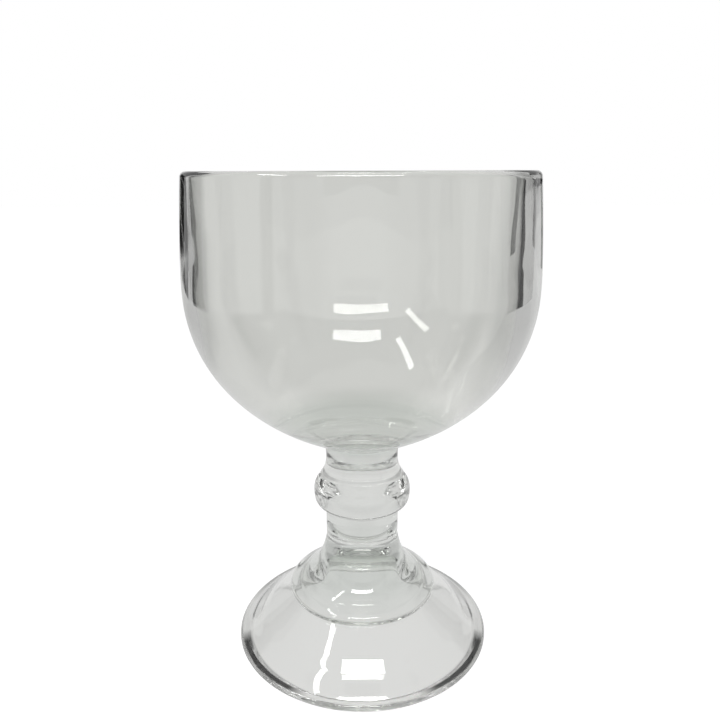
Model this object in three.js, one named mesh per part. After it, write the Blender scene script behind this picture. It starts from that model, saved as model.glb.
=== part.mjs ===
// A heavy footed goblet in clear pressed glass. A deep round bowl stands on a short collar, a ball
// knop, a short stem and a hollow bell foot. Every member is turned about the same upright axis.
// Millimetres, +Z up, origin on the surface that it stands on, at the centre of the foot.
import * as THREE from 'three';

// Lengths of the five members along the axis, from the foot up. Together they make the height.
const FOOT_HEIGHT = 37.5;
const STEM_LENGTH = 10.6;
const KNOP_LENGTH = 19;
const COLLAR_LENGTH = 4.1;
const BOWL_HEIGHT = 88.8;

// Outer radii of the four creases, where one member meets the next.
const STEM_FOOT_RADIUS = 12.4;
const STEM_TOP_RADIUS = 12.5;
const COLLAR_FOOT_RADIUS = 12.2;
const COLLAR_TOP_RADIUS = 12.45;

// Foot: a cone with a rounded edge, which carries a low shoulder and a bell that narrows to the stem.
const FOOT_RADIUS = 44;
const EDGE_THICKNESS = 2.7;
const EDGE_ROUNDING = 1.9;
const SHOULDER_FOOT_RADIUS = 25;
const SHOULDER_FOOT_HEIGHT = 17;
const SHOULDER_SWELL = 3.3;
const SHOULDER_RISE = 5.2;
const BELL_WAIST_RADIUS = 15;
const BELL_WAIST_HEIGHT = 19.6;

// Hollow under the foot, which follows the bell at an even thickness and has a crease of its own
// inside the shoulder. What is left between its mouth and the edge is the flat ring it stands on.
const BEARING_WIDTH = 3.2;
const HOLLOW_SHOULDER_RADIUS = 20;
const HOLLOW_SHOULDER_HEIGHT = 15.9;
const HOLLOW_WAIST_RADIUS = 10;
const HOLLOW_WAIST_HEIGHT = 18;
const HOLLOW_CROWN_RADIUS = 15;
const HOLLOW_HEIGHT = 33.5;

// Knop: a ball that starts at a crease over the stem and draws in to the collar in a hollow curve.
const KNOP_RADIUS = 16.5;
const KNOP_EQUATOR_HEIGHT = 6.9;
const KNOP_UNDERSIDE_RADIUS = 15;
const KNOP_UNDERSIDE_RISE = 2.4;
const KNOP_LOWER_FULLNESS = 0.86;
const KNOP_UPPER_FULLNESS = 0.33;
const KNOP_NECK_FULLNESS = 0.59;

// Bowl, outside: a small fillet over the collar, a round belly and a wall that leans in to the rim.
const BOWL_FILLET = 1.5;
const UNDERSIDE_SLOPE_DEGREES = 22;
const UNDERSIDE_RUN = 8;
const BELLY_RADIUS = 55.6;
const BELLY_HEIGHT = 55;
const BELLY_FULLNESS = 0.66;
const RIM_RADIUS = 53.85;

// Bowl, inside: a thick flat floor with a crease round it, a wall that thins upwards and a rounded rim.
const FLOOR_THICKNESS = 8.8;
const FLOOR_RADIUS = 25.6;
const FLOOR_EDGE_SLOPE_DEGREES = 19;
const FLOOR_EDGE_RUN = 6.7;
const BELLY_WALL = 5.3;
const RIM_THICKNESS = 3.6;
const INNER_FULLNESS = 0.65;

// Flats round the axis, and straight steps along each kind of curve in an outline.
const FLATS_ROUND = 48;
const LONG_CURVE_STEPS = 12;
const SHORT_CURVE_STEPS = 6;
const WALL_CURVE_STEPS = 3;
const FILLET_STEPS = 3;
const RIM_STEPS = 6;
const SAME_POINT = 1e-6;

// Heights of the creases above the surface.
const STEM_BASE = FOOT_HEIGHT;
const KNOP_BASE = STEM_BASE + STEM_LENGTH;
const COLLAR_BASE = KNOP_BASE + KNOP_LENGTH;
const BOWL_BASE = COLLAR_BASE + COLLAR_LENGTH;

const at = (radius, height) => new THREE.Vector2(radius, height);
const line = (from, to) => [new THREE.LineCurve(from, to), 1];
const bend = (from, corner, to, steps) => [new THREE.QuadraticBezierCurve(from, corner, to), steps];
const curve = (from, leave, arrive, to, steps) => [new THREE.CubicBezierCurve(from, leave, arrive, to), steps];
const arc = (centre, across, up, start, end, steps) =>
  [new THREE.EllipseCurve(centre.x, centre.y, across, up, start, end, false), steps];

// Joins curves that follow one another into one list of points, each point once.
function outlineOf(pieces) {
  const points = [];
  for (const [piece, steps] of pieces) {
    for (const point of piece.getPoints(steps)) {
      const last = points.at(-1);
      if (!last || last.distanceTo(point) > SAME_POINT) {
        points.push(point);
      }
    }
  }
  return points;
}

// Turns an outline of radius and height about the upright axis. The outline runs from the axis
// at the bottom, out and up the outside, and back to the axis at the top.
function turned(name, pieces) {
  const geometry = new THREE.LatheGeometry(outlineOf(pieces), FLATS_ROUND);
  geometry.rotateX(Math.PI / 2);
  const glass = new THREE.MeshStandardMaterial({
    color: 0xc8cec9,
    roughness: 0.04,
    metalness: 0,
    transparent: true,
    opacity: 0.35,
  });
  const mesh = new THREE.Mesh(geometry, glass);
  mesh.name = name;
  return mesh;
}

// The foot's outline starts at the crown of the hollow, goes down to the flat bearing ring, round
// the edge, up the cone, over the shoulder and up the bell to the flat top that carries the stem.
function makeFoot() {
  const edgeRadius = FOOT_RADIUS - EDGE_ROUNDING;
  const mouth = at(edgeRadius - BEARING_WIDTH, 0);
  const crown = at(0, HOLLOW_HEIGHT);
  const hollowShoulder = at(HOLLOW_SHOULDER_RADIUS, HOLLOW_SHOULDER_HEIGHT);
  const hollowWaist = at(HOLLOW_WAIST_RADIUS, HOLLOW_WAIST_HEIGHT);
  const shoulderFoot = at(SHOULDER_FOOT_RADIUS, SHOULDER_FOOT_HEIGHT);
  const swell = at(SHOULDER_FOOT_RADIUS + SHOULDER_SWELL, SHOULDER_FOOT_HEIGHT + SHOULDER_RISE);
  const waist = at(BELL_WAIST_RADIUS, BELL_WAIST_HEIGHT);
  const top = at(STEM_FOOT_RADIUS, FOOT_HEIGHT);
  return turned('foot', [
    curve(crown, at(HOLLOW_CROWN_RADIUS, HOLLOW_HEIGHT), hollowWaist, hollowShoulder, LONG_CURVE_STEPS),
    line(hollowShoulder, mouth),
    line(mouth, at(edgeRadius, 0)),
    arc(at(edgeRadius, EDGE_THICKNESS / 2), EDGE_ROUNDING, EDGE_THICKNESS / 2,
      -Math.PI / 2, Math.PI / 2, RIM_STEPS),
    line(at(edgeRadius, EDGE_THICKNESS), shoulderFoot),
    curve(shoulderFoot, swell, waist, top, LONG_CURVE_STEPS),
    line(top, at(0, FOOT_HEIGHT)),
  ]);
}

function makeStem() {
  return turned('stem', [
    line(at(0, STEM_BASE), at(STEM_FOOT_RADIUS, STEM_BASE)),
    line(at(STEM_FOOT_RADIUS, STEM_BASE), at(STEM_TOP_RADIUS, KNOP_BASE)),
    line(at(STEM_TOP_RADIUS, KNOP_BASE), at(0, KNOP_BASE)),
  ]);
}

function makeKnop() {
  const bottom = at(STEM_TOP_RADIUS, KNOP_BASE);
  const equator = at(KNOP_RADIUS, KNOP_BASE + KNOP_EQUATOR_HEIGHT);
  const top = at(COLLAR_FOOT_RADIUS, COLLAR_BASE);
  const upperHeight = KNOP_LENGTH - KNOP_EQUATOR_HEIGHT;
  return turned('knop', [
    line(at(0, KNOP_BASE), bottom),
    curve(bottom, at(KNOP_UNDERSIDE_RADIUS, KNOP_BASE + KNOP_UNDERSIDE_RISE),
      at(KNOP_RADIUS, equator.y - KNOP_EQUATOR_HEIGHT * KNOP_LOWER_FULLNESS), equator, SHORT_CURVE_STEPS),
    curve(equator, at(KNOP_RADIUS, equator.y + upperHeight * KNOP_UPPER_FULLNESS),
      at(COLLAR_FOOT_RADIUS, COLLAR_BASE - upperHeight * KNOP_NECK_FULLNESS), top, LONG_CURVE_STEPS),
    line(top, at(0, COLLAR_BASE)),
  ]);
}

function makeCollar() {
  return turned('collar', [
    line(at(0, COLLAR_BASE), at(COLLAR_FOOT_RADIUS, COLLAR_BASE)),
    line(at(COLLAR_FOOT_RADIUS, COLLAR_BASE), at(COLLAR_TOP_RADIUS, BOWL_BASE)),
    line(at(COLLAR_TOP_RADIUS, BOWL_BASE), at(0, BOWL_BASE)),
  ]);
}

// The bowl's outline runs from its seat on the collar up the outside, round the rim and down the
// inside to the middle of the floor.
function makeBowl() {
  const slope = THREE.MathUtils.degToRad(UNDERSIDE_SLOPE_DEGREES);
  const outward = at(Math.cos(slope), Math.sin(slope));
  const seat = at(COLLAR_TOP_RADIUS, BOWL_BASE);
  const corner = at(COLLAR_TOP_RADIUS, BOWL_BASE + BOWL_FILLET);
  const underside = corner.clone().addScaledVector(outward, BOWL_FILLET);
  const belly = at(BELLY_RADIUS, BOWL_BASE + BELLY_HEIGHT);
  const rimBead = RIM_THICKNESS / 2;
  const rimCentre = at(RIM_RADIUS - rimBead, BOWL_BASE + BOWL_HEIGHT - rimBead);
  const wallTop = at(RIM_RADIUS, rimCentre.y);
  const innerTop = at(RIM_RADIUS - RIM_THICKNESS, rimCentre.y);
  const wallHeight = wallTop.y - belly.y;
  const innerBelly = at(BELLY_RADIUS - BELLY_WALL, belly.y);
  const floorHeight = BOWL_BASE + FLOOR_THICKNESS;
  const innerDepth = belly.y - floorHeight;
  const floorEdge = at(FLOOR_RADIUS, floorHeight);
  const floorSlope = THREE.MathUtils.degToRad(FLOOR_EDGE_SLOPE_DEGREES);
  const wallFoot = floorEdge.clone().add(
    at(Math.cos(floorSlope), Math.sin(floorSlope)).multiplyScalar(FLOOR_EDGE_RUN));
  return turned('bowl', [
    line(at(0, BOWL_BASE), seat),
    bend(seat, corner, underside, FILLET_STEPS),
    curve(underside, underside.clone().addScaledVector(outward, UNDERSIDE_RUN),
      at(BELLY_RADIUS, belly.y - BELLY_HEIGHT * BELLY_FULLNESS), belly, LONG_CURVE_STEPS),
    bend(belly, at(BELLY_RADIUS, belly.y + wallHeight / 3), wallTop, WALL_CURVE_STEPS),
    arc(rimCentre, rimBead, rimBead, 0, Math.PI, RIM_STEPS),
    bend(innerTop, at(innerBelly.x, belly.y + wallHeight / 3), innerBelly, WALL_CURVE_STEPS),
    curve(innerBelly, at(innerBelly.x, belly.y - innerDepth * INNER_FULLNESS),
      wallFoot, floorEdge, LONG_CURVE_STEPS),
    line(floorEdge, at(0, floorHeight)),
  ]);
}

const group = new THREE.Group();
group.add(makeFoot(), makeStem(), makeKnop(), makeCollar(), makeBowl());

export default group;
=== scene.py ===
import math
import bpy
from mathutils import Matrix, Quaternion, Vector


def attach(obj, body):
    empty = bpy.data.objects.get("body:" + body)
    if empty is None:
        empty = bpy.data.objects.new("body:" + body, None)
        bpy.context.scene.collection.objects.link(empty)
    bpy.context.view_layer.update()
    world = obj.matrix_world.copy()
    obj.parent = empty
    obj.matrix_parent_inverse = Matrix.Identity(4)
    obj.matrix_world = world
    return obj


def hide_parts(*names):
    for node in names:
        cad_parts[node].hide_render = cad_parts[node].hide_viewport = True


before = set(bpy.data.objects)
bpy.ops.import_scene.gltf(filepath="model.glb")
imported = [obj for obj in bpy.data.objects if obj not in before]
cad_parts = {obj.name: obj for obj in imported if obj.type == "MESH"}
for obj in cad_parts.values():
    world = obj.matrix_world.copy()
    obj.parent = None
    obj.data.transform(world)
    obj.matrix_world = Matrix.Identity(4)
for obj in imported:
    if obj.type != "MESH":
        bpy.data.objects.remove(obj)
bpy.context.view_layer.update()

# A heavy footed goblet in clear pressed glass, +Z up, as the frame. The sizes of the glass are in
# millimetres and are those of the solids, turned here more finely. What stands round it is in
# metres, except the cards.
MM = 0.001

# Lengths of the members along the axis and the outer radii of the creases between them.
FOOT_HEIGHT = 37.5
STEM_LENGTH = 10.6
KNOP_LENGTH = 19.0
COLLAR_LENGTH = 4.1
BOWL_HEIGHT = 88.8
STEM_FOOT_RADIUS = 12.4
STEM_TOP_RADIUS = 12.5
COLLAR_FOOT_RADIUS = 12.2
COLLAR_TOP_RADIUS = 12.45

# Foot.
FOOT_RADIUS = 44.0
EDGE_THICKNESS = 2.7
EDGE_ROUNDING = 1.9
SHOULDER_FOOT_RADIUS = 25.0
SHOULDER_FOOT_HEIGHT = 17.0
SHOULDER_SWELL = 3.3
SHOULDER_RISE = 5.2
BELL_WAIST_RADIUS = 15.0
BELL_WAIST_HEIGHT = 19.6
BEARING_WIDTH = 3.2
HOLLOW_SHOULDER_RADIUS = 20.0
HOLLOW_SHOULDER_HEIGHT = 15.9
HOLLOW_WAIST_RADIUS = 10.0
HOLLOW_WAIST_HEIGHT = 18.0
HOLLOW_CROWN_RADIUS = 15.0
HOLLOW_HEIGHT = 33.5

# Knop.
KNOP_RADIUS = 16.5
KNOP_EQUATOR_HEIGHT = 6.9
KNOP_UNDERSIDE_RADIUS = 15.0
KNOP_UNDERSIDE_RISE = 2.4
KNOP_LOWER_FULLNESS = 0.86
KNOP_UPPER_FULLNESS = 0.33
KNOP_NECK_FULLNESS = 0.59

# Bowl.
BOWL_FILLET = 1.5
UNDERSIDE_SLOPE_DEGREES = 22.0
UNDERSIDE_RUN = 8.0
BELLY_RADIUS = 55.6
BELLY_HEIGHT = 55.0
BELLY_FULLNESS = 0.66
RIM_RADIUS = 53.85
FLOOR_THICKNESS = 8.8
FLOOR_RADIUS = 25.6
FLOOR_EDGE_SLOPE_DEGREES = 19.0
FLOOR_EDGE_RUN = 6.7
BELLY_WALL = 5.3
RIM_THICKNESS = 3.6
INNER_FULLNESS = 0.65

# Sizes that follow from those: heights of the creases and radii of the foot's bearing ring.
STEM_BASE = FOOT_HEIGHT
KNOP_BASE = STEM_BASE + STEM_LENGTH
COLLAR_BASE = KNOP_BASE + KNOP_LENGTH
BOWL_BASE = COLLAR_BASE + COLLAR_LENGTH
RIM_HEIGHT = BOWL_BASE + BOWL_HEIGHT
EDGE_RADIUS = FOOT_RADIUS - EDGE_ROUNDING
MOUTH_RADIUS = EDGE_RADIUS - BEARING_WIDTH

# Fineness of the turned surfaces.
STEPS_ROUND = 192
LONG_STEPS = 40
SHORT_STEPS = 16
WALL_STEPS = 12
FILLET_STEPS = 5
RIM_STEPS = 16
CAVITY_STEPS = 120
CONE_STEPS = 60
SAME_POINT = 1e-6

# What the real glass has beside the plain turned form. The cavity lies off the axis and its wall is
# slightly wavy, the press left a low ridge round the floor, and the cone of the foot swells and dips.
# The dips are points of (radius, rise above the straight cone), from the outside in.
CAVITY_DRIFT = 0.95
CAVITY_WAVE = 0.05
CAVITY_WAVE_LENGTH = 22.0
CAVITY_WAVE_CREST = 146.0
FLOOR_RIDGE_RADIUS = 30.2
FLOOR_RIDGE_WIDTH = 2.2
FLOOR_RIDGE_HEIGHT = 0.35
CONE_DIPS = [(EDGE_RADIUS, 0.0), (36.1, -0.3), (32.5, -0.08), (SHOULDER_FOOT_RADIUS, 0.0)]
HOLLOW_DIPS = [(MOUTH_RADIUS, 0.0), (33.5, 0.3), (24.0, 0.0)]

# Glass. It looks darker and greener where it is thick: share of that tint by share of the height.
GLASS_COLOUR = (0.94, 0.945, 0.925, 1.0)
THICK_GLASS_COLOUR = (0.745, 0.775, 0.74, 1.0)
GLASS_IOR = 1.52
THICK_PARTS = [(0.1, 0.0), (0.13, 0.8), (0.22, 0.8), (0.25, 0.4), (0.29, 0.4), (0.32, 0.15), (0.4, 0.15),
               (0.42, 0.8), (0.45, 1.0), (0.51, 1.0), (0.54, 0.0)]

# Faint unevenness of pressed glass: ripples, in metres deep, and patches of a slightly duller polish,
# where the pattern runs from HAZE_LOW to HAZE_HIGH.
RIPPLE_SCALE = 55.0
RIPPLE_DETAIL = 1.0
RIPPLE_DEPTH = 0.0001
HAZE_SCALE = 40.0
HAZE_DETAIL = 2.0
HAZE_LOW = 0.35
HAZE_HIGH = 0.65
HAZE_CLEAREST = 0.0
HAZE_DULLEST = 0.03

# Photograph: 720 pixels square, seen with a short lens from rim height.
SENSOR = 36.0
FOCAL_PIXELS = 681.4
FRAME_PIXELS = 720
CAMERA_DISTANCE = 0.2156
CAMERA_HEIGHT = 0.160
CAMERA_PITCH_DEGREES = 15.53
CAMERA_ROLL_DEGREES = 0.2
CAMERA_CLIP_START = 0.01
AXIS_OFFSET_PIXELS = 1.0

# Times that light may pass or leave a surface, enough for all the walls of the glass.
GLASS_BOUNCES = 32
GLOSSY_BOUNCES = 16

# White that the camera sees round the object, and the even light that matt surfaces get.
WHITE = 1.0
EVEN_LIGHT = 0.45

# Greys of the studio that the glass shows, round the horizon, by degrees away from the direction
# that the camera looks in. The dark flags that draw the edges of the glass stand on both sides,
# before and behind it.
BACKDROP_GREY = 0.74
BACKDROP_MIDDLE_GREY = 0.73
SIDE_GREY = 0.55
REAR_GREY = 0.62
FLAG_GREY = 0.015
HORIZON = [(0, BACKDROP_MIDDLE_GREY), (4, BACKDROP_MIDDLE_GREY), (6, BACKDROP_GREY), (20, BACKDROP_GREY),
           (27, SIDE_GREY), (48.5, SIDE_GREY), (49.5, FLAG_GREY), (68, FLAG_GREY), (70, SIDE_GREY),
           (90, REAR_GREY), (118, SIDE_GREY), (120, FLAG_GREY), (126.5, FLAG_GREY), (127.5, SIDE_GREY),
           (153, SIDE_GREY), (160, BACKDROP_GREY), (180, BACKDROP_GREY)]

# Upwards, by the height of the direction looked in, where 1 is straight up: the share of those greys
# that is left high on the wall, and the share of the ceiling.
WALL = [(0.0, 1.0), (0.1, 1.0), (0.22, 0.8)]
CEILING = [(0.0, 0.0), (0.6, 0.0), (0.76, 1.0)]
CEILING_GREY = 0.6

# Black cards, in planes across the view: distance behind the axis and points of (aside, height) in
# millimetres. Those beside the bowl draw its black edges and stand before and behind the axis, so
# that the edges show from both directions. The one above the camera darkens the sides of the knop.
CARD_DEPTH = 40.0
CARDS = {
    "card_left": [(-78, 170), (-78, 134), (-86, 120), (-104, 111), (-104, 170)],
    "card_right": [(78, 170), (78, 124), (89, 124), (89, 170)],
}
FRONT_CARD_DEPTH = -232.0
FRONT_CARD = [(-80, 178), (80, 178), (80, 235), (-80, 235)]

# Floor. It lies just under the bearing ring, so that rays which leave the ring still meet it.
FLOOR_HALF = 3.0
FLOOR_DROP = 0.0001
FLOOR_GLOW = 0.88
FLOOR_MATT = 0.3

# Table that the glass shows on the floor: a bright middle and duller sides, by metres aside, and a
# dark cloth in front of the goblet, by metres towards the camera.
TABLE_GREY = 0.76
TABLE_SIDE_GREY = 0.5
TABLE = [(0.0, TABLE_GREY), (0.16, TABLE_GREY), (0.34, TABLE_SIDE_GREY)]
TABLE_END = 0.55
CLOTH_GREY = 0.02
CLOTH = [(0.0, 0.0), (0.06, 0.0), (0.09, 1.0)]

# Dark of the table under the edge of the foot, where hardly any light gets in: a ramp over tenths of
# a metre from the axis, and one over degrees away from the camera's side.
CONTACT_GREY = 0.03
CONTACT_SCALE = 10.0
CONTACT_RING = [(0.385, 0.0), (0.392, 1.0), (0.455, 1.0), (0.48, 0.0)]
CONTACT_ROUND = [(0, 0.0), (25, 0.0), (35, 1.0), (74, 1.0), (82, 0.1), (105, 0.1), (120, 0.5), (180, 0.5)]

# Lamps, on the camera's side: name, centre, width, height, turn about the beam in degrees, radiance.
LAMP_AIM_HEIGHT = 0.1
LAMPS = [("key", (0.0, -0.306, 0.42), 0.31, 0.066, 0.0, 14.0),
         ("strip", (-0.246, -0.125, 0.414), 0.19, 0.03, -25.0, 14.0)]

# Sockets of a colour mix node, which share their names with others of the node.
MIX_SHARE = 0
MIX_FIRST = 6
MIX_SECOND = 7
MIX_RESULT = 2


def curve(corners, steps):
    """Points of the smooth curve that leaves its first corner and arrives at its last one, drawn
    towards the one or two corners between them."""
    last = len(corners) - 1
    points = []
    for i in range(steps + 1):
        t = i / steps
        weights = [math.comb(last, k) * (1 - t) ** (last - k) * t ** k for k in range(last + 1)]
        radius = sum(weight * corner[0] for weight, corner in zip(weights, corners))
        height = sum(weight * corner[1] for weight, corner in zip(weights, corners))
        points.append((radius, height))
    return points


def arc(centre, across, up, start, end, steps):
    points = []
    for i in range(steps + 1):
        angle = start + (end - start) * i / steps
        points.append((centre[0] + across * math.cos(angle), centre[1] + up * math.sin(angle)))
    return points


def straight(start, end, steps=1):
    return [tuple(p + (q - p) * i / steps for p, q in zip(start, end)) for i in range(steps + 1)]


def uneven_cone(start, end, dips):
    """A straight line from the outside in, with the swells and dips of the real cone."""
    points = []
    for radius, height in straight(start, end, CONE_STEPS):
        for (outer, first), (inner, second) in zip(dips, dips[1:]):
            if inner <= radius <= outer:
                share = (1 - math.cos(math.pi * (outer - radius) / (outer - inner))) / 2
                height += first + (second - first) * share
                break
        points.append((radius, height))
    return points


def cavity_point(radius, angle, height):
    """A point of the bowl's inside, with the drift, wave and ridge of the real one. They fade out
    over the rounding of the rim."""
    depth = min(1.0, (RIM_HEIGHT - height) / (RIM_THICKNESS / 2))
    share = depth * depth * (3 - 2 * depth)
    turn = 2 * math.pi * (height - CAVITY_WAVE_CREST) / CAVITY_WAVE_LENGTH
    wave = CAVITY_WAVE * (1 - math.cos(angle)) / 2 * math.cos(turn)
    off_ridge = abs(radius - FLOOR_RIDGE_RADIUS) / FLOOR_RIDGE_WIDTH
    if off_ridge < 0.5:
        height += FLOOR_RIDGE_HEIGHT * math.cos(math.pi * off_ridge) ** 2
    if radius > FLOOR_RADIUS:
        radius += share * wave
    return radius * math.cos(angle) - share * CAVITY_DRIFT, radius * math.sin(angle), height


def joined(stretches):
    """The rings of an outline, each a (radius, height), joined from its stretches. Beside them it
    gives the kind of each band between two rings, the rings with a crease and those of the cavity."""
    rings = []
    kinds = []
    creases = set()
    uneven = set()
    for kind, points in stretches:
        for point in points:
            if rings and math.dist(rings[-1], point) < SAME_POINT:
                continue
            if rings:
                kinds.append(kind)
            if kind == "cavity":
                uneven.add(len(rings))
            rings.append(point)
        if kind in ("sharp", "joint"):
            creases.add(len(rings) - 1)
            creases.add(len(rings) - len(points))
    return rings, kinds, creases, uneven


def mark_creases(mesh, index, creases):
    """Keeps the edges sharp that run round the given rings."""
    ring_of = {}
    for i, ids in enumerate(index):
        for vertex in ids:
            ring_of[vertex] = i
    for edge in mesh.edges:
        a, b = edge.vertices
        if ring_of[a] == ring_of[b] and ring_of[a] in creases:
            edge.use_edge_sharp = True


def placed(name, data):
    thing = bpy.data.objects.new(name, data)
    bpy.context.scene.collection.objects.link(thing)
    return thing


def turned(name, stretches, material, seam):
    """One closed piece, turned from stretches of outline. A stretch marked "joint" is a flat that is
    fused to the next member, one marked "cavity" has the unevenness of the bowl's inside, and "sharp"
    and "joint" stretches keep a crease at both ends."""
    rings, kinds, creases, uneven = joined(stretches)
    vertices = []
    index = []
    for i, (radius, height) in enumerate(rings):
        count = 1 if radius < SAME_POINT else STEPS_ROUND
        index.append([len(vertices) + j % count for j in range(STEPS_ROUND)])
        for j in range(count):
            angle = 2 * math.pi * j / STEPS_ROUND
            point = (radius * math.cos(angle), radius * math.sin(angle), height)
            if i in uneven:
                point = cavity_point(radius, angle, height)
            vertices.append(tuple(c * MM for c in point))
    faces = []
    slots = []
    for kind, low, high in zip(kinds, index, index[1:]):
        for j in range(STEPS_ROUND):
            k = (j + 1) % STEPS_ROUND
            corners = list(dict.fromkeys([low[j], low[k], high[k], high[j]]))
            if len(corners) >= 3:
                faces.append(corners)
                slots.append(1 if kind == "joint" else 0)
    mesh = bpy.data.meshes.new(name)
    mesh.from_pydata(vertices, [], faces)
    mesh.materials.append(material)
    mesh.materials.append(seam)
    mesh.polygons.foreach_set("material_index", slots)
    mesh.polygons.foreach_set("use_smooth", [True] * len(faces))
    mark_creases(mesh, index, creases - {0, len(rings) - 1})
    mesh.update()
    return placed(name, mesh)


def foot_outline():
    """From the crown of the hollow down to the bearing ring, round the edge, up the cone, over the
    shoulder and up the bell to the flat top that carries the stem."""
    mouth = (MOUTH_RADIUS, 0.0)
    crown = (0.0, HOLLOW_HEIGHT)
    hollow_shoulder = (HOLLOW_SHOULDER_RADIUS, HOLLOW_SHOULDER_HEIGHT)
    hollow_waist = (HOLLOW_WAIST_RADIUS, HOLLOW_WAIST_HEIGHT)
    shoulder = (SHOULDER_FOOT_RADIUS, SHOULDER_FOOT_HEIGHT)
    swell = (SHOULDER_FOOT_RADIUS + SHOULDER_SWELL, SHOULDER_FOOT_HEIGHT + SHOULDER_RISE)
    waist = (BELL_WAIST_RADIUS, BELL_WAIST_HEIGHT)
    top = (STEM_FOOT_RADIUS, FOOT_HEIGHT)
    half_edge = EDGE_THICKNESS / 2
    return [
        ("smooth", curve([crown, (HOLLOW_CROWN_RADIUS, HOLLOW_HEIGHT), hollow_waist, hollow_shoulder],
                         LONG_STEPS)),
        ("smooth", uneven_cone(mouth, hollow_shoulder, HOLLOW_DIPS)[::-1]),
        ("sharp", straight(mouth, (EDGE_RADIUS, 0.0))),
        ("smooth", arc((EDGE_RADIUS, half_edge), EDGE_ROUNDING, half_edge,
                       -math.pi / 2, math.pi / 2, RIM_STEPS)),
        ("smooth", uneven_cone((EDGE_RADIUS, EDGE_THICKNESS), shoulder, CONE_DIPS)),
        ("smooth", curve([shoulder, swell, waist, top], LONG_STEPS)),
        ("joint", straight(top, (0.0, FOOT_HEIGHT))),
    ]


def plain_outline(low, high):
    """A member with a plain side between two flats."""
    return [
        ("joint", straight((0.0, low[1]), low)),
        ("smooth", straight(low, high, SHORT_STEPS)),
        ("joint", straight(high, (0.0, high[1]))),
    ]


def stem_outline():
    return plain_outline((STEM_FOOT_RADIUS, STEM_BASE), (STEM_TOP_RADIUS, KNOP_BASE))


def collar_outline():
    return plain_outline((COLLAR_FOOT_RADIUS, COLLAR_BASE), (COLLAR_TOP_RADIUS, BOWL_BASE))


def knop_outline():
    bottom = (STEM_TOP_RADIUS, KNOP_BASE)
    underside = (KNOP_UNDERSIDE_RADIUS, KNOP_BASE + KNOP_UNDERSIDE_RISE)
    equator = (KNOP_RADIUS, KNOP_BASE + KNOP_EQUATOR_HEIGHT)
    top = (COLLAR_FOOT_RADIUS, COLLAR_BASE)
    upper = KNOP_LENGTH - KNOP_EQUATOR_HEIGHT
    below = (KNOP_RADIUS, equator[1] - KNOP_EQUATOR_HEIGHT * KNOP_LOWER_FULLNESS)
    above = (KNOP_RADIUS, equator[1] + upper * KNOP_UPPER_FULLNESS)
    neck = (COLLAR_FOOT_RADIUS, COLLAR_BASE - upper * KNOP_NECK_FULLNESS)
    return [
        ("joint", straight((0.0, KNOP_BASE), bottom)),
        ("smooth", curve([bottom, underside, below, equator], LONG_STEPS)),
        ("smooth", curve([equator, above, neck, top], LONG_STEPS)),
        ("joint", straight(top, (0.0, COLLAR_BASE))),
    ]


def bowl_outline():
    """From the seat on the collar up the outside, round the rim and down the inside to the middle
    of the floor."""
    slope = math.radians(UNDERSIDE_SLOPE_DEGREES)
    seat = (COLLAR_TOP_RADIUS, BOWL_BASE)
    corner = (COLLAR_TOP_RADIUS, BOWL_BASE + BOWL_FILLET)
    under = (corner[0] + BOWL_FILLET * math.cos(slope), corner[1] + BOWL_FILLET * math.sin(slope))
    leave = (under[0] + UNDERSIDE_RUN * math.cos(slope), under[1] + UNDERSIDE_RUN * math.sin(slope))
    belly = (BELLY_RADIUS, BOWL_BASE + BELLY_HEIGHT)
    below = (BELLY_RADIUS, belly[1] - BELLY_HEIGHT * BELLY_FULLNESS)
    bead = RIM_THICKNESS / 2
    rim_centre = (RIM_RADIUS - bead, RIM_HEIGHT - bead)
    wall_corner_height = belly[1] + (rim_centre[1] - belly[1]) / 3
    wall_top = (RIM_RADIUS, rim_centre[1])
    inner_top = (RIM_RADIUS - RIM_THICKNESS, rim_centre[1])
    inner_belly = (BELLY_RADIUS - BELLY_WALL, belly[1])
    floor = BOWL_BASE + FLOOR_THICKNESS
    inner_below = (inner_belly[0], belly[1] - (belly[1] - floor) * INNER_FULLNESS)
    floor_slope = math.radians(FLOOR_EDGE_SLOPE_DEGREES)
    floor_edge = (FLOOR_RADIUS, floor)
    wall_foot = (floor_edge[0] + FLOOR_EDGE_RUN * math.cos(floor_slope),
                 floor_edge[1] + FLOOR_EDGE_RUN * math.sin(floor_slope))
    return [
        ("joint", straight((0.0, BOWL_BASE), seat)),
        ("smooth", curve([seat, corner, under], FILLET_STEPS)),
        ("smooth", curve([under, leave, below, belly], LONG_STEPS)),
        ("smooth", curve([belly, (BELLY_RADIUS, wall_corner_height), wall_top], WALL_STEPS)),
        ("smooth", arc(rim_centre, bead, bead, 0.0, math.pi / 2, RIM_STEPS)),
        ("cavity", arc(rim_centre, bead, bead, math.pi / 2, math.pi, RIM_STEPS)),
        ("cavity", curve([inner_top, (inner_belly[0], wall_corner_height), inner_belly], LONG_STEPS)),
        ("cavity", curve([inner_belly, inner_below, wall_foot, floor_edge], CAVITY_STEPS)),
        ("cavity", straight(floor_edge, (0.0, floor), SHORT_STEPS)),
    ]


def math_node(tree, operation, first, second=None):
    """One step of arithmetic. Each value is a number, or the output of another node."""
    node = tree.nodes.new("ShaderNodeMath")
    node.operation = operation
    for socket, value in zip(node.inputs, (first, second)):
        if value is None:
            continue
        if isinstance(value, (int, float)):
            socket.default_value = value
        else:
            tree.links.new(value, socket)
    return node.outputs[0]


def parts_of(tree, vector):
    node = tree.nodes.new("ShaderNodeSeparateXYZ")
    tree.links.new(vector, node.inputs[0])
    return node.outputs["X"], node.outputs["Y"], node.outputs["Z"]


def noise(tree, place, scale, detail):
    node = tree.nodes.new("ShaderNodeTexNoise")
    node.inputs["Scale"].default_value = scale
    node.inputs["Detail"].default_value = detail
    tree.links.new(place, node.inputs["Vector"])
    return node.outputs["Fac"]


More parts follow.
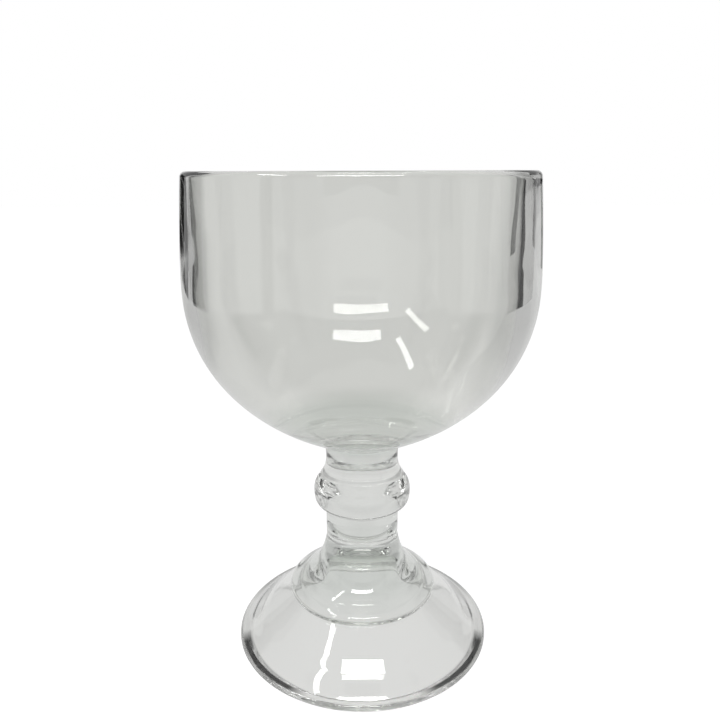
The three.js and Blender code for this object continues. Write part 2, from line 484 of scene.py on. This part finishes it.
def ramp_node(tree, factor, stops):
    """A grey ramp through stops of (place from 0 to 1, grey)."""
    node = tree.nodes.new("ShaderNodeValToRGB")
    ramp = node.color_ramp
    while len(ramp.elements) > 1:
        ramp.elements.remove(ramp.elements[-1])
    ramp.elements[0].position = stops[0][0]
    ramp.elements[0].color = (stops[0][1],) * 3 + (1.0,)
    for place, grey in stops[1:]:
        element = ramp.elements.new(place)
        element.color = (grey, grey, grey, 1.0)
    tree.links.new(factor, node.inputs[0])
    return node.outputs[0]


def by_degrees(stops):
    """Stops of a ramp from 0 to 180 degrees, as places from 0 to 1."""
    return [(degrees / 180.0, grey) for degrees, grey in stops]


def emission(tree, grey):
    """A plain glow. The grey is a number, or the output of another node."""
    node = tree.nodes.new("ShaderNodeEmission")
    if isinstance(grey, (int, float)):
        node.inputs["Color"].default_value = (grey, grey, grey, 1.0)
    else:
        tree.links.new(grey, node.inputs["Color"])
    return node.outputs[0]


def transparent(tree):
    return tree.nodes.new("ShaderNodeBsdfTransparent").outputs[0]


def mixed(tree, share, first, second):
    mix = tree.nodes.new("ShaderNodeMixShader")
    tree.links.new(share, mix.inputs["Fac"])
    tree.links.new(first, mix.inputs[1])
    tree.links.new(second, mix.inputs[2])
    return mix.outputs[0]


def by_ray(tree, camera_shader, glass_shader, matt_shader):
    """One shader for what the camera sees directly, one for what glass shows, and one that lights
    matt surfaces."""
    path = tree.nodes.new("ShaderNodeLightPath")
    reflected = path.outputs["Is Glossy Ray"]
    passed = path.outputs["Is Transmission Ray"]
    shown = mixed(tree, math_node(tree, "MAXIMUM", reflected, passed), matt_shader, glass_shader)
    return mixed(tree, path.outputs["Is Camera Ray"], shown, camera_shader)


def empty_material(name):
    """A material with nothing but an output: the material, its tree and the socket for its look."""
    material = bpy.data.materials.new(name)
    material.use_nodes = True
    tree = material.node_tree
    tree.nodes.clear()
    output = tree.nodes.new("ShaderNodeOutputMaterial")
    return material, tree, output.inputs["Surface"]


def thickness_tint(tree, place):
    height = math_node(tree, "DIVIDE", parts_of(tree, place)[2], RIM_HEIGHT * MM)
    tint = tree.nodes.new("ShaderNodeMix")
    tint.data_type = "RGBA"
    tint.inputs[MIX_FIRST].default_value = GLASS_COLOUR
    tint.inputs[MIX_SECOND].default_value = THICK_GLASS_COLOUR
    tree.links.new(ramp_node(tree, height, THICK_PARTS), tint.inputs[MIX_SHARE])
    return tint.outputs[MIX_RESULT]


def uneven_polish(tree, place):
    roughness = tree.nodes.new("ShaderNodeMapRange")
    roughness.inputs["From Min"].default_value = HAZE_LOW
    roughness.inputs["From Max"].default_value = HAZE_HIGH
    roughness.inputs["To Min"].default_value = HAZE_CLEAREST
    roughness.inputs["To Max"].default_value = HAZE_DULLEST
    tree.links.new(noise(tree, place, HAZE_SCALE, HAZE_DETAIL), roughness.inputs["Value"])
    return roughness.outputs["Result"]


def ripples(tree, place):
    bump = tree.nodes.new("ShaderNodeBump")
    bump.inputs["Distance"].default_value = RIPPLE_DEPTH
    tree.links.new(noise(tree, place, RIPPLE_SCALE, RIPPLE_DETAIL), bump.inputs["Height"])
    return bump.outputs["Normal"]


def clear_glass():
    material = bpy.data.materials.new("clear_glass")
    material.use_nodes = True
    tree = material.node_tree
    shader = tree.nodes["Principled BSDF"]
    shader.inputs["IOR"].default_value = GLASS_IOR
    shader.inputs["Transmission Weight"].default_value = 1.0
    place = tree.nodes.new("ShaderNodeTexCoord").outputs["Object"]
    tree.links.new(thickness_tint(tree, place), shader.inputs["Base Color"])
    tree.links.new(uneven_polish(tree, place), shader.inputs["Roughness"])
    tree.links.new(ripples(tree, place), shader.inputs["Normal"])
    return material


def fused_seam():
    """Clear, because two fused members are one glass and light passes between them unchanged."""
    material, tree, surface = empty_material("fused_seam")
    tree.links.new(transparent(tree), surface)
    return material


def black_card():
    material, tree, surface = empty_material("black_card")
    tree.links.new(emission(tree, FLAG_GREY), surface)
    return material


def contact_shade(tree, place, aside, behind):
    """Share of the dark under the edge of the foot: a ring, deeper in some parts of its round."""
    length = tree.nodes.new("ShaderNodeVectorMath")
    length.operation = "LENGTH"
    tree.links.new(place, length.inputs[0])
    distance = math_node(tree, "MULTIPLY", length.outputs["Value"], CONTACT_SCALE)
    from_back = math_node(tree, "DIVIDE", math_node(tree, "ARCTAN2", aside, behind), math.pi)
    from_camera = math_node(tree, "SUBTRACT", 1.0, from_back)
    ring = ramp_node(tree, distance, CONTACT_RING)
    return math_node(tree, "MULTIPLY", ring, ramp_node(tree, from_camera, by_degrees(CONTACT_ROUND)))


def table_look(tree, place):
    """A grey table with a dark cloth in front of the goblet. Beyond its end the studio shows."""
    x, y, _ = parts_of(tree, place)
    aside = math_node(tree, "ABSOLUTE", x)
    forward = math_node(tree, "MULTIPLY", y, -1.0)
    bare = emission(tree, ramp_node(tree, aside, TABLE))
    laid = mixed(tree, ramp_node(tree, forward, CLOTH), bare, emission(tree, CLOTH_GREY))
    shaded = mixed(tree, contact_shade(tree, place, aside, y), laid, emission(tree, CONTACT_GREY))
    away = math_node(tree, "MAXIMUM", aside, math_node(tree, "ABSOLUTE", y))
    past_end = math_node(tree, "GREATER_THAN", away, TABLE_END)
    return mixed(tree, past_end, shaded, transparent(tree))


def white_floor(tree):
    """Nearly white by its own glow, with a matt share that keeps a faint shadow."""
    matt = tree.nodes.new("ShaderNodeBsdfDiffuse")
    matt.inputs["Color"].default_value = (FLOOR_MATT, FLOOR_MATT, FLOOR_MATT, 1.0)
    white = tree.nodes.new("ShaderNodeAddShader")
    tree.links.new(emission(tree, FLOOR_GLOW), white.inputs[0])
    tree.links.new(matt.outputs[0], white.inputs[1])
    return white.outputs[0]


def floor_material():
    material, tree, surface = empty_material("floor")
    place = tree.nodes.new("ShaderNodeTexCoord").outputs["Object"]
    shader = by_ray(tree, white_floor(tree), table_look(tree, place), emission(tree, EVEN_LIGHT))
    tree.links.new(shader, surface)
    return material


def flat(name, corners, material):
    """One flat face through its corners, as an object."""
    mesh = bpy.data.meshes.new(name)
    mesh.from_pydata(corners, [], [list(range(len(corners)))])
    mesh.materials.append(material)
    return placed(name, mesh)


def make_camera():
    data = bpy.data.cameras.new("camera")
    data.sensor_width = SENSOR
    data.lens = FOCAL_PIXELS / FRAME_PIXELS * SENSOR
    data.shift_x = -AXIS_OFFSET_PIXELS / FRAME_PIXELS
    data.clip_start = CAMERA_CLIP_START
    camera = placed("camera", data)
    camera.location = (0.0, -CAMERA_DISTANCE, CAMERA_HEIGHT)
    pitch = math.radians(90.0 - CAMERA_PITCH_DEGREES)
    camera.rotation_euler = (pitch, math.radians(CAMERA_ROLL_DEGREES), 0.0)
    bpy.context.scene.camera = camera


def make_world():
    """A white room to the camera, and a grey studio with dark flags to the glass."""
    world = bpy.data.worlds.new("studio")
    bpy.context.scene.world = world
    world.use_nodes = True
    tree = world.node_tree
    tree.nodes.clear()
    output = tree.nodes.new("ShaderNodeOutputWorld")
    x, y, z = parts_of(tree, tree.nodes.new("ShaderNodeTexCoord").outputs["Generated"])
    azimuth = math_node(tree, "ARCTAN2", math_node(tree, "ABSOLUTE", x), y)
    horizon = ramp_node(tree, math_node(tree, "DIVIDE", azimuth, math.pi), by_degrees(HORIZON))
    ring = math_node(tree, "MULTIPLY", horizon, ramp_node(tree, z, WALL))
    studio = mixed(tree, ramp_node(tree, z, CEILING), emission(tree, ring), emission(tree, CEILING_GREY))
    shader = by_ray(tree, emission(tree, WHITE), studio, emission(tree, EVEN_LIGHT))
    tree.links.new(shader, output.inputs["Surface"])


def make_floor():
    """White with a faint shadow to the camera, and a grey table with a dark cloth to the glass."""
    half = FLOOR_HALF
    corners = [(x, y, -FLOOR_DROP) for x, y in ((-half, -half), (half, -half), (half, half), (-half, half))]
    flat("floor", corners, floor_material())


def make_cards():
    """Black cards that only glass shows."""
    material = black_card()
    cards = []
    for name, outline in CARDS.items():
        cards.append((name, CARD_DEPTH, outline))
        cards.append((name, -CARD_DEPTH, outline))
    cards.append(("card_front", FRONT_CARD_DEPTH, FRONT_CARD))
    for name, depth, outline in cards:
        card = flat(name, [(x * MM, depth * MM, z * MM) for x, z in outline], material)
        card.visible_camera = False
        card.visible_diffuse = False
        card.visible_shadow = False


def make_lamps():
    for name, centre, width, height, turn_degrees, radiance in LAMPS:
        data = bpy.data.lights.new(name, "AREA")
        data.shape = "RECTANGLE"
        data.size = width
        data.size_y = height
        data.energy = radiance * width * height * math.pi
        lamp = placed(name, data)
        lamp.location = centre
        aim = Vector((0.0, 0.0, LAMP_AIM_HEIGHT)) - Vector(centre)
        facing = aim.to_track_quat("-Z", "Y") @ Quaternion((0.0, 0.0, 1.0), math.radians(turn_degrees))
        lamp.rotation_euler = facing.to_euler()
        lamp.visible_camera = False


def make_goblet():
    glass = clear_glass()
    seam = fused_seam()
    outlines = {"foot": foot_outline(), "stem": stem_outline(), "knop": knop_outline(),
                "collar": collar_outline(), "bowl": bowl_outline()}
    for name, stretches in outlines.items():
        piece = turned(name + "_glass", stretches, glass, seam)
        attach(piece, "root")
        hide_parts(name)


def set_view():
    scene = bpy.context.scene
    scene.view_settings.view_transform = "Standard"
    scene.cycles.max_bounces = GLASS_BOUNCES
    scene.cycles.transmission_bounces = GLASS_BOUNCES
    scene.cycles.glossy_bounces = GLOSSY_BOUNCES
    scene.cycles.transparent_max_bounces = GLASS_BOUNCES


make_camera()
make_world()
make_floor()
make_cards()
make_lamps()
make_goblet()
set_view()
